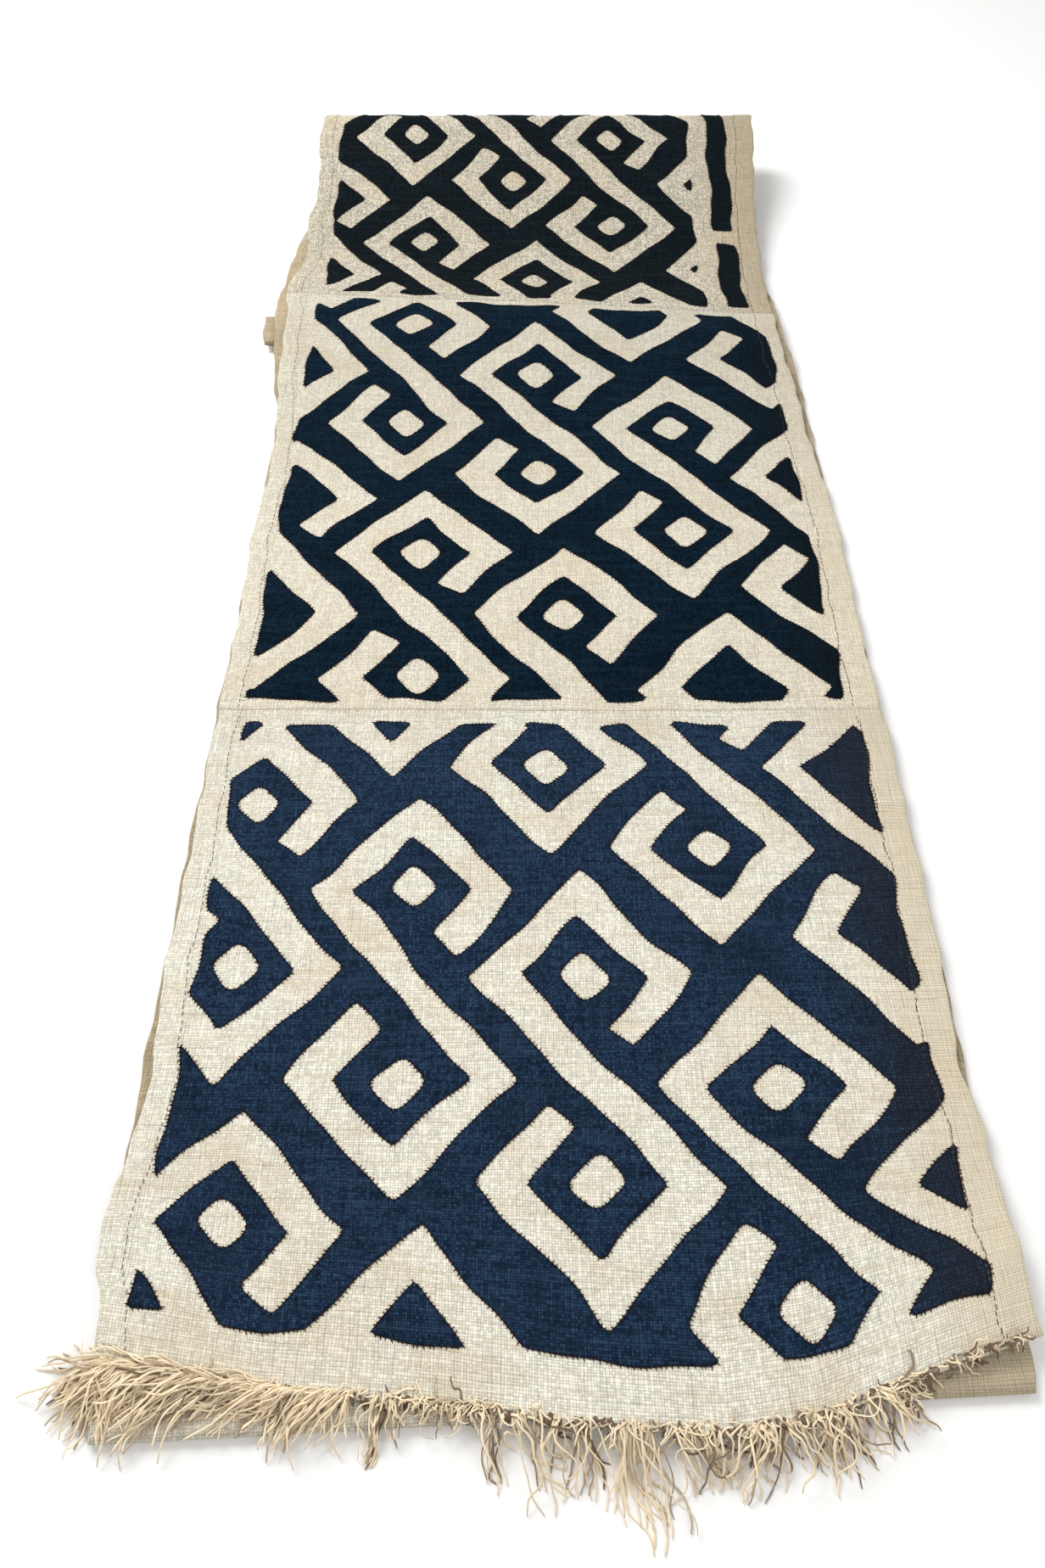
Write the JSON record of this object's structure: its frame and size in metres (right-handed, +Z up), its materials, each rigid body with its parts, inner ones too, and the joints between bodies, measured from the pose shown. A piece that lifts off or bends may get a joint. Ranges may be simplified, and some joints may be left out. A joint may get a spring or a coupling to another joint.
{
  "type": "folded kuba raffia wrapper cloth",
  "caption": "Long raffia wrapper cloth of woven panels sewn end to end, with dark sewn-on patches, stitched hems and a frayed end, lying folded back and forth.",
  "frame": {"origin": "middle of the box round the folded cloth, on the surface that it lies on", "axes": "+Y along the cloth away from its fringed end, +X to the right as seen from that end, +Z up"},
  "size_m": [0.6729, 1.7674, 0.0799],
  "materials": {
    "raffia_weave": "matte plain weave of natural raffia with a slight straw sheen",
    "raffia_fringe": "dry unwoven raffia strands, matte",
    "dyed_patch": "matte plain weave of raffia dyed blue-black",
    "sewing_thread": "dull brown raffia thread"
  },
  "bodies": {
    "root": {"panel_1_fringed": "raffia_weave", "panel_2": "raffia_weave", "panel_3_far_fold": "raffia_weave", "panel_4": "raffia_weave", "panel_5": "raffia_weave", "panel_6_front_fold": "raffia_weave", "panel_7_rolled_end": "raffia_weave", "fringe": "raffia_fringe"}
  },
  "joints": []
}
